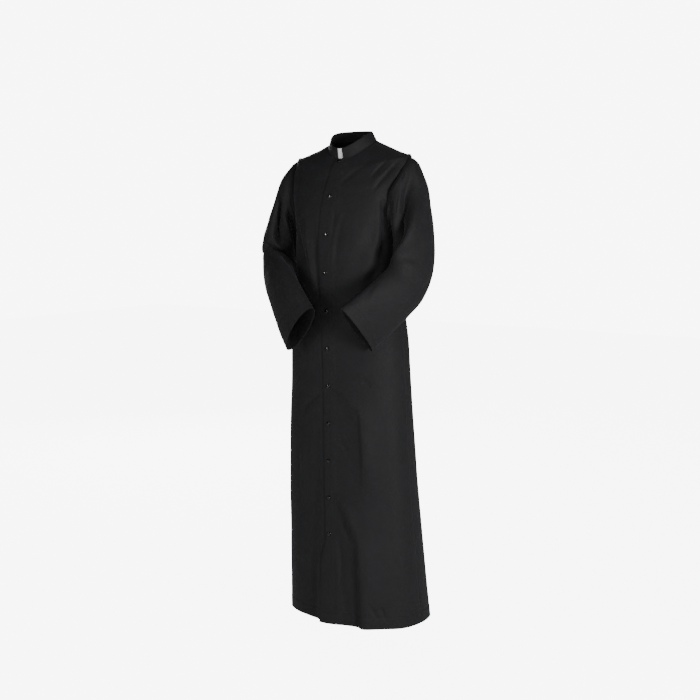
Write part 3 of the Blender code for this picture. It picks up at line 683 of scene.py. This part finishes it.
def sleeve_cloth(arm, folds, arm_sign):
    centres = np.array([[s.x, s.y, s.z] for s in arm])
    around = np.arange(PATH_POINTS) * TURN / PATH_POINTS
    head = sleeve_start(arm_sign, around)
    tangents = np.gradient(np.concatenate([head.mean(axis=0)[None], centres]), axis=0)[1:]

    def rings(turns):
        sections = [arm_ring(s, t, arm_sign, turns) for s, t in zip(arm, tangents)]
        return np.stack([sleeve_start(arm_sign, turns)] + sections)

    steps = np.linalg.norm(np.diff(rings(around), axis=0), axis=-1).mean(axis=-1)
    knots = np.concatenate([[0], np.cumsum(steps)])
    end = knots[-1]
    hem = end - CUFF_TURN
    breaks = (0, NEAR_SEAM, hem - NEAR_STITCH, hem + NEAR_STITCH, end - NEAR_EDGE, end)
    at = stations(breaks, (6, 165, 5, 10, 3))
    low, high, near = SLEEVE_SEAM, SLEEVE_SEAM + TURN, NEAR_UNDER_SEAM / SLEEVE_METRES
    turns = stations((low, low + near, high - near, high), (4, 150, 4))[:-1]
    outer = through(knots, rings(turns), at)
    turns, at = np.meshgrid(turns, at)

    rise = fold_rise(folds, turns, at, SLEEVE_METRES) * ease((at + FOLDS_BEFORE) / RELIEF_EASE)
    outer = outer + rise[..., None] * sleeve_normals(outer, arm_sign)
    u = turns * SLEEVE_METRES
    relief = uneven("sleeve_broad", u, at, arm_sign) + uneven("sleeve_fine", u, at, arm_sign)
    relief = relief * ease(at / RELIEF_EASE) + seam_dip(at)
    fullness, place, width, slope, level = SLEEVE_HEAD
    relief += fullness * ease(np.cos(turns) * slope + level) * bell(at - place, width)
    relief += stitched_edge(hem - at, *CUFF_LINE)
    from_seam = half_turn(turns - SLEEVE_SEAM) * SLEEVE_METRES
    relief += groove(from_seam, *SLEEVE_SEAM_LINE)
    relief += bell(from_seam, PUCKER_REACH) * uneven("sleeve_seam", u, at)
    outer = outer + relief[..., None] * sleeve_normals(outer, arm_sign)

    hidden, hidden_normals = seam_allowance(arm_sign, turns[0])
    before = np.broadcast_to(-np.array(ALLOWANCE)[:, None], hidden.shape[:2])
    hidden = (hidden, hidden_normals, u[: len(ALLOWANCE)], before)
    grids = zip(hidden, (outer, sleeve_normals(outer, arm_sign), u, at))
    outer, normals, u, at = (np.concatenate(pair)[:, ::arm_sign] for pair in grids)
    return Cloth(outer, normals, u * arm_sign, at, True)


# ---- Collar and tab ----
def collar_point(rise, side):
    """A point of the collar's outer face: rise is 0 at the neck seam and 1 at the top edge."""
    base = folded_body(0.0, side, BODY_FOLDS)
    top_x = COLLAR_TOP_HALF_WIDTH * np.sin(side)
    top_y = -COLLAR_TOP_HALF_DEPTH * np.cos(side)
    lean = np.hypot(top_x - base[..., 0], top_y - base[..., 1])
    top = np.stack([top_x, top_y, base[..., 2] + np.sqrt(COLLAR_HEIGHT**2 - lean**2)], -1)
    return base + rise[..., None] * (top - base)


def off_body(sides):
    """From the body's neck seam to the collar, which clears the fronts and the left one's step."""
    up = body_point(0.0, sides) - body_point(-SMALL, sides)
    out = unit(np.cross(body_point(0.0, sides + SMALL) - body_point(0.0, sides - SMALL), up))
    across = np.abs(half_turn(sides)) * NECK_METRES
    lift = COLLAR_CLEARANCE + LAP_STEP * ease((STEP_REACH - across) / STEP_EASE)
    return lift[..., None] * out


def collar_cloth():
    """The collar, with its front corners rounded and its edges stitched round."""
    notch, near = COLLAR_NOTCH / 2 / NECK_METRES, NEAR_SEAM / NECK_METRES
    far = TURN - notch
    sides = stations((notch, notch + near, far - near, far), (8, 170, 8))
    rises = stations((COLLAR_UNDER, *COLLAR_NEAR, 1.0), (6, 12, 7))
    sides, rises = np.meshgrid(sides, rises)
    from_end = np.minimum(sides - notch, far - sides) * NECK_METRES
    corner = np.clip(1 - from_end / COLLAR_CORNER, 0, 1)
    top = 1 - (COLLAR_CORNER / COLLAR_HEIGHT) * (1 - np.sqrt(1 - corner**2))
    rises = np.where(rises > 0, rises * top, rises)
    outer = collar_point(rises, sides)
    normals = grid_normals(outer)
    outer = outer + off_body(sides[:1])
    from_edge = np.minimum(from_end, (top - rises) * COLLAR_HEIGHT)
    turned_in, width = COLLAR_ROUND
    relief = groove(from_edge - COLLAR_STITCH, *COLLAR_LINE)
    relief -= turned_in * ease(1 - from_edge / width)
    relief += uneven("collar", sides, rises)
    relief -= COLLAR_TUCK * ease(0.5 + 0.5 * rises / COLLAR_UNDER)
    outer = outer + relief[..., None] * normals
    return Cloth(outer, grid_normals(outer), sides * NECK_METRES, rises * COLLAR_HEIGHT, False)


def tab_cloth():
    """The white insert, behind the collar's front edges."""
    half = TAB_WIDTH / 2 / NECK_METRES
    rises = np.linspace(TAB_FROM, TAB_HEIGHT / COLLAR_HEIGHT + TAB_OVER, 33)
    sides, rises = np.meshgrid(np.linspace(-half, half, 41), rises)
    outer = collar_point(rises, sides)
    normals = grid_normals(outer)
    outer = outer + off_body(sides) - (COLLAR_CLOTH + 2 * SEAM_GAP) * normals
    return Cloth(outer, normals, sides * NECK_METRES, rises * COLLAR_HEIGHT, False)


# ---- Meshes ----
# Each edge of a grid of points: its axis, its place there, and the place of the line beside it
RIMS = {"low": (0, 0, 1), "high": (0, -1, -2), "first": (1, 0, 1), "last": (1, -1, -2)}


def shell(name, cloth, thickness, material, node, free_edges=()):
    """A closed shell of a cloth, rounded at its free edges and lapped a little at its seams."""
    outer, u, v = cloth.outer, cloth.u, cloth.v
    inner = outer - thickness * cloth.normals
    middle = (outer + inner) / 2
    for rim, (axis, edge, beside) in RIMS.items():
        lines, moved = outer.swapaxes(0, axis), middle.swapaxes(0, axis)
        off = unit(lines[edge] - lines[beside])
        if rim in free_edges:
            moved[edge] += thickness * FREE_EDGE * off
        elif axis == 1 and not cloth.closed:
            moved[edge] += SEAM_LAP * off
    points = np.concatenate([a.reshape(-1, 3) for a in (outer, inner, middle)])
    layer = u.size
    index = np.arange(layer).reshape(u.shape)
    if cloth.closed:
        index, v = (np.concatenate([a, a[:, :1]], axis=1) for a in (index, v))
        once_round = TURN * SLEEVE_METRES * np.sign(u[0, 1] - u[0, 0])
        u = np.concatenate([u, u[:, :1] + once_round], axis=1)

    # Faces by their corners' places in the grid, the inner layer one size on and the middle two
    size = u.size
    grid = np.arange(size).reshape(u.shape)
    skin = np.stack([grid[:-1, :-1], grid[:-1, 1:], grid[1:, 1:], grid[1:, :-1]], -1).reshape(-1, 4)
    faces = [skin, skin[:, ::-1] + size]
    borders = [(grid[0], -1), (grid[-1], 1)]
    if not cloth.closed:
        borders += [(grid[:, 0], 1), (grid[:, -1], -1)]
    for line, way in borders:
        a, b = line[:-1], line[1:]
        for low, high in ((0, 2 * size), (2 * size, size)):
            faces.append(np.stack([a + low, b + low, b + high, a + high], -1)[:, ::way])
    faces = np.concatenate(faces)
    corners = np.stack([u, v], -1).reshape(-1, 2)[faces % size]
    faces = index.reshape(-1)[faces % size] + faces // size * layer
    used, faces = np.unique(faces, return_inverse=True)
    mesh = new_mesh(name, points[used].tolist(), faces.reshape(-1, 4).tolist())
    places = mesh.uv_layers.new(name="cloth")
    places.data.foreach_set("uv", corners.reshape(-1).astype(np.float32))
    return add_piece(name, mesh, material, node)


def new_mesh(name, points, faces):
    mesh = bpy.data.meshes.new(name)
    mesh.from_pydata(points, [], faces)
    return mesh


def add_object(name, data):
    thing = bpy.data.objects.new(name, data)
    bpy.context.scene.collection.objects.link(thing)
    return thing


def add_piece(name, mesh, material, node=None):
    mesh.shade_smooth()
    mesh.materials.append(material)
    piece = add_object(name, mesh)
    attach(piece, "root")
    if node:
        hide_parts(node)
    return piece


# ---- Stitches ----
def on_cloth(cloth, us, vs):
    """Points and normals of a cloth at places across (u) and along (v) it."""
    rows = cloth.v[:, 0]
    at = np.interp(vs, rows, np.arange(len(rows)))
    i = np.clip(np.floor(at).astype(int), 0, len(rows) - 2)
    fi = (at - i)[:, None]
    lines = cloth.u[i] * (1 - fi) + cloth.u[i + 1] * fi
    column = np.array([np.interp(u, line, np.arange(len(line))) for u, line in zip(us, lines)])
    j = np.clip(np.floor(column).astype(int), 0, cloth.u.shape[1] - 2)
    fj = (column - j)[:, None]

    def blend(a):
        low = a[i, j] * (1 - fj) + a[i, j + 1] * fj
        high = a[i + 1, j] * (1 - fj) + a[i + 1, j + 1] * fj
        return low * (1 - fi) + high * fi

    return blend(cloth.outer), unit(blend(cloth.normals))


# A stitch's rings: place along it as a share of its length, size and lift in thread radii
STITCH_RINGS = (
    (-0.5, 0.15, -0.6), (-0.3, 0.9, 0.1), (0.0, 1.0, 0.35), (0.3, 0.9, 0.1), (0.5, 0.15, -0.6),
)
STITCH_SIDES = 6


def stitch_line(points, normals):
    """Stitches at an even pitch along a line on the cloth, each a short thread sunk at its ends."""
    lengths = run_lengths(points)
    count = int(lengths[-1] / STITCH_PITCH)
    middles = (np.arange(count) + 0.5) * STITCH_PITCH

    def at(places, values):
        return np.stack([np.interp(places, lengths, values[:, k]) for k in range(3)], -1)

    centre, up = at(middles, points), unit(at(middles, normals))
    along = unit(at(middles + SMALL / 2, points) - at(middles - SMALL / 2, points))
    side = unit(np.cross(up, along))
    vertices = []
    for share, size, lift in STITCH_RINGS:
        for turn in np.arange(STITCH_SIDES) * TURN / STITCH_SIDES:
            out = side * cos(turn) * size + up * (sin(turn) * size + lift)
            vertices.append(centre + along * share * STITCH_LENGTH + out * THREAD)
    vertices = np.stack(vertices, axis=1)
    ring = np.arange(STITCH_SIDES)
    after = (ring + 1) % STITCH_SIDES
    band = np.stack([ring, ring + STITCH_SIDES, after + STITCH_SIDES, after], -1)
    quads = [band + k * STITCH_SIDES for k in range(len(STITCH_RINGS) - 1)]
    caps = np.stack([ring, len(STITCH_RINGS) * STITCH_SIDES - 1 - ring])
    base = np.arange(count)[:, None, None] * vertices.shape[1]
    quads = (np.concatenate(quads) + base).reshape(-1, 4)
    caps = (caps + base).reshape(-1, STITCH_SIDES)
    return vertices.reshape(-1, 3).tolist(), quads.tolist() + caps.tolist()


def stitches(name, lines, material):
    """One piece of many stitch lines, each a pair of points and normals."""
    vertices, faces = [], []
    for points, normals in lines:
        more, sides = stitch_line(points, normals)
        faces += [[index + len(vertices) for index in side] for side in sides]
        vertices += more
    mesh = new_mesh(name, vertices, faces)
    return add_piece(name, mesh, material)


def body_stitches(left, right, back, thread):
    """The placket's line, and the hem's turn-up all round."""
    hem = HEM + HEM_TURN
    heights = np.linspace(hem, PLACKET_TOP, 1200)
    stitches("placket_stitches", [on_cloth(left, PLACKET_STITCH + 0 * heights, heights)], thread)
    lines = []
    for cloth in (left, right, back):
        row = int(np.argmin(np.abs(cloth.v[:, 0] - hem)))
        us = np.linspace(cloth.u[row].min() + HEM_FROM, cloth.u[row].max() - HEM_TO, 400)
        lines.append(on_cloth(cloth, us, cloth.v[row, 0] + 0 * us))
    stitches("hem_stitches", lines, thread)


def sleeve_stitches(name, cloth, thread):
    row = int(np.argmin(np.abs(cloth.v[:, 0] - (cloth.v[-1, 0] - CUFF_TURN))))
    line = [np.concatenate([a[row], a[row, :1]]) for a in (cloth.outer, cloth.normals)]
    stitches(name, [line], thread)


def collar_stitches(cloth, thread):
    """Round the collar's front ends and along its top."""
    first, last = cloth.u[0, 0] + COLLAR_STITCH, cloth.u[0, -1] - COLLAR_STITCH
    top, bend = COLLAR_HEIGHT - COLLAR_STITCH, COLLAR_STITCH_BEND
    quarter = np.linspace(0, pi / 2, 20)
    leaving, arriving = bend * (1 - np.cos(quarter)), bend * (1 - np.sin(quarter))
    upright, level = np.linspace(0.002, top - bend, 60), np.linspace(first + bend, last - bend, 900)
    us = (first + 0 * upright, first + leaving, level[1:-1], last - arriving, last + 0 * upright)
    vs = (upright, top - arriving, top + 0 * level[1:-1], top - leaving, upright[::-1])
    line = on_cloth(cloth, np.concatenate(us), np.concatenate(vs))
    stitches("collar_stitches", [line], thread)


# ---- Snaps ----
# Half section of a cap: radius and height as shares of the cap's
SNAP_PROFILE = (
    (0.86, 0), (0.97, 0.08), (1, 0.26), (0.985, 0.46), (0.94, 0.62), (0.88, 0.7), (0.84, 0.7),
    (0.8, 0.74), (0.76, 0.84), (0.7, 0.92), (0.6, 0.955), (0.42, 0.98), (0.22, 0.995),
)
SNAP_SIDES = 40


def snap_mesh(name):
    """A domed cap with a rolled rim and a shallow ring, turned about +Z, standing on z = 0."""
    points = [(0, 0, 0)]
    for radius, height in SNAP_PROFILE:
        for k in range(SNAP_SIDES):
            turn, reach = TURN * k / SNAP_SIDES, radius * SNAP_RADIUS
            points.append((reach * cos(turn), reach * sin(turn), height * SNAP_HEIGHT))
    top = len(points)
    points.append((0, 0, SNAP_HEIGHT))
    faces = []
    for k in range(SNAP_SIDES):
        here, after = 1 + k, 1 + (k + 1) % SNAP_SIDES
        faces.append((0, after, here))
        for low in range(0, top - 1 - SNAP_SIDES, SNAP_SIDES):
            high = low + SNAP_SIDES
            faces.append((low + here, low + after, high + after, high + here))
        faces.append((high + here, high + after, top))
    return new_mesh(name, points, faces)


def snaps(left, material):
    """The caps, at even spaces along the front centre line."""
    heights = np.linspace(0.0, HEM, 1500)
    lengths = run_lengths(folded_body(heights, 0.0, BODY_FOLDS))
    heights = np.interp(SNAP_FIRST + SNAP_PITCH * np.arange(SNAP_COUNT), lengths, heights)
    points, normals = on_cloth(left, 0 * heights, heights)
    for number, (point, normal) in enumerate(zip(points, normals), start=1):
        node = f"snap_{number:02d}"
        mesh = snap_mesh(f"{node}_cap")
        up = unit(np.cross(normal, (1.0, 0.0, 0.0)))
        axes = np.stack([np.cross(up, normal), up, normal, point + SNAP_OFF * normal], -1)
        mesh.transform(Matrix([*axes.tolist(), [0, 0, 0, 1]]))
        add_piece(f"{node}_cap", mesh, material, node)


# ---- Materials ----
class Nodes:
    """A material's node tree, with short ways to add and join its nodes."""

    def __init__(self, name, colour, roughness, **values):
        self.material = bpy.data.materials.new(name)
        self.material.use_nodes = True
        self.tree = self.material.node_tree
        self.shader = self.tree.nodes["Principled BSDF"]
        self.material.diffuse_color = (*colour, 1)
        values.update(Base_Color=(*colour, 1), Roughness=roughness)
        for key, value in values.items():
            self.shader.inputs[key.replace("_", " ")].default_value = value

    def add(self, kind, inputs=(), **settings):
        node = self.tree.nodes.new("ShaderNode" + kind)
        for key, value in settings.items():
            setattr(node, key, value)
        for key, value in dict(inputs).items():
            if isinstance(value, bpy.types.NodeSocket):
                self.tree.links.new(value, node.inputs[key])
            else:
                node.inputs[key].default_value = value
        return node

    def cloth_place(self):
        return self.add("UVMap", uv_map="cloth").outputs["UV"]

    def object_place(self):
        return self.add("TexCoord").outputs["Object"]

    def noise(self, place, scale, detail):
        inputs = {"Vector": place, "Scale": scale, "Detail": detail}
        return self.add("TexNoise", inputs).outputs["Fac"]

    def waves(self, place, scale, direction="DIAGONAL", **inputs):
        inputs = {"Vector": place, "Scale": scale, **inputs}
        return self.add("TexWave", inputs, bands_direction=direction).outputs["Fac"]

    def blend(self, *parts):
        """The sum of values, each times its share."""
        total = 0.0
        for value, share in parts:
            inputs = {0: value, 1: share, 2: total}
            total = self.add("Math", inputs, operation="MULTIPLY_ADD").outputs[0]
        return total

    def bump(self, height, distance, strength, **normal):
        inputs = {"Height": height, "Distance": distance, "Strength": strength, **normal}
        return self.add("Bump", inputs).outputs["Normal"]

    def join(self, value, socket):
        self.tree.links.new(value, self.shader.inputs[socket])


def cloth_material():
    """Black twill: fine diagonal ribs, uneven yarns, faintly uneven tone and a soft sheen."""
    sheen = {"Sheen_Weight": 0.05, "Sheen_Roughness": 0.45, "Sheen_Tint": (0.9, 0.92, 1.0, 1)}
    n = Nodes("black_cloth_twill", CLOTH_COLOUR, 0.72, Specular_IOR_Level=0.22, **sheen)
    place = n.cloth_place()
    ribs = n.waves(place, TWILL_SCALE, Distortion=0.6, Detail=1.0, **{"Detail Scale": 2.0})
    yarns, slubs = n.noise(place, 1600.0, 2.0), n.noise(place, 260.0, 3.0)
    tone = n.noise(place, 22.0, 4.0)
    ramp = n.add("ValToRGB", {"Fac": n.blend((tone, 0.55), (slubs, 0.25), (ribs, 0.20))})
    for element, position, share in zip(ramp.color_ramp.elements, (0.30, 0.72), (0.86, 1.16)):
        element.position = position
        element.color = (*[c * share for c in CLOTH_COLOUR], 1)
    n.join(ramp.outputs["Color"], "Base Color")
    fine = n.bump(n.blend((ribs, 0.7), (yarns, 0.3)), 0.00012, 0.55)
    n.join(n.bump(slubs, 0.0002, 0.25, Normal=fine), "Normal")
    return n.material


def thread_material():
    """Black sewing thread, with a fine twist."""
    n = Nodes("black_thread", (0.0065, 0.0065, 0.0070), 0.70, Specular_IOR_Level=0.3)
    n.join(n.bump(n.waves(n.object_place(), 900.0), 0.00008, 0.6), "Normal")
    return n.material


def enamel_material():
    """Black enamel on the snap caps, glossy, with faint wear."""
    n = Nodes("black_enamel_cap", (0.004, 0.004, 0.0045), 0.13, Specular_IOR_Level=0.6)
    wear = n.noise(n.object_place(), 700.0, 4.0)
    limits = {"From Min": 0.3, "From Max": 0.75, "To Min": 0.05, "To Max": 0.14}
    n.join(n.add("MapRange", {"Value": wear, **limits}).outputs["Result"], "Roughness")
    n.join(n.bump(wear, 0.00004, 0.4), "Normal")
    return n.material


def tab_material():
    """Smooth white plastic with a faint linen grain."""
    n = Nodes("white_tab_plastic", (0.90, 0.90, 0.89), 0.42)
    place = n.cloth_place()
    grain = n.blend((n.waves(place, 560.0, "X"), 1.0), (n.waves(place, 560.0, "Y"), 1.0))
    n.join(n.bump(grain, 0.00003, 0.5), "Normal")
    return n.material


def floor_material():
    n = Nodes("studio_floor", (0.90, 0.90, 0.90), 0.85, Emission_Color=(1, 1, 1, 1))
    n.join(n.bump(n.noise(n.object_place(), 90.0, 3.0), 0.0002, 0.1), "Normal")
    path = n.add("LightPath").outputs["Is Camera Ray"]
    n.join(n.blend((path, FLOOR_SEEN)), "Emission Strength")
    return n.material


# ---- Studio and camera ----
def studio():
    low, high = -FLOOR_HALF, FLOOR_HALF
    corners = [(low, low, FLOOR), (high, low, FLOOR), (high, high, FLOOR), (low, high, FLOOR)]
    mesh = new_mesh("studio_floor", corners, [(0, 1, 2, 3)])
    mesh.materials.append(floor_material())
    add_object("studio_floor", mesh)

    world = bpy.data.worlds.new("studio")
    world.use_nodes = True
    tree = world.node_tree
    around, seen = tree.nodes["Background"], tree.nodes.new("ShaderNodeBackground")
    for background, strength in ((around, WORLD_LIGHT), (seen, WORLD_SEEN)):
        background.inputs["Color"].default_value = (1, 1, 1, 1)
        background.inputs["Strength"].default_value = strength
    path, mix = tree.nodes.new("ShaderNodeLightPath"), tree.nodes.new("ShaderNodeMixShader")
    for k, socket in enumerate((path.outputs["Is Camera Ray"], around.outputs[0], seen.outputs[0])):
        tree.links.new(socket, mix.inputs[k])
    tree.links.new(mix.outputs[0], tree.nodes["World Output"].inputs["Surface"])
    bpy.context.scene.world = world

    for name, across, back, up, size, watts in LIGHTS:
        data = bpy.data.lights.new(name, "AREA")
        data.size, data.energy = size, watts
        light = add_object(name, data)
        light.location = RIGHT * across - AHEAD * back + Vector((0, 0, up))
        light.rotation_euler = (AIM - light.location).to_track_quat("-Z", "Y").to_euler()


def camera():
    data = bpy.data.cameras.new("camera")
    data.sensor_width = 36.0
    data.lens, data.shift_x, data.clip_end = CAMERA_LENS, CAMERA_SHIFT, 60.0
    thing = add_object("camera", data)
    thing.location = -AHEAD * CAMERA_DISTANCE + Vector((0, 0, CAMERA_HEIGHT))
    thing.rotation_euler = (pi / 2 - CAMERA_TILT, 0, CAMERA_TURN)
    bpy.context.scene.camera = thing


# ---- Assembly ----
def main():
    cloth, thread = cloth_material(), thread_material()
    left, right, back = front_cloth(1), front_cloth(-1), back_cloth()
    left_sleeve = sleeve_cloth(LEFT_ARM, LEFT_SLEEVE_FOLDS, 1)
    right_sleeve = sleeve_cloth(RIGHT_ARM, RIGHT_SLEEVE_FOLDS, -1)
    collar, tab = collar_cloth(), tab_cloth()

    # node, cloth, wall, free edges, and what was cut: greatest width and length, and area
    sheets = (
        ("front_left", left, CLOTH, ("low", "first"), 0.42, 1.50, 0.40),
        ("front_right", right, CLOTH, ("low", "last"), 0.42, 1.50, 0.40),
        ("back", back, CLOTH, ("low",), 0.78, 1.50, 0.76),
        ("sleeve_left", left_sleeve, CLOTH, ("high",), 0.56, 0.57, 0.21),
        ("sleeve_right", right_sleeve, CLOTH, ("high",), 0.56, 0.62, 0.23),
        ("collar", collar, COLLAR_CLOTH, ("high", "first", "last"), 0.43, 0.034, 0.0135),
    )
    for node, shape, wall, free_edges, width, length, area in sheets:
        piece = shell(f"{node}_cloth", shape, wall, cloth, node, free_edges)
    shell("collar_tab_plastic", tab, TAB_THICKNESS, tab_material(), "collar_tab")

    body_stitches(left, right, back, thread)
    sleeve_stitches("cuff_left_stitches", left_sleeve, thread)
    sleeve_stitches("cuff_right_stitches", right_sleeve, thread)
    collar_stitches(collar, thread)
    snaps(left, enamel_material())
    studio()
    camera()


main()
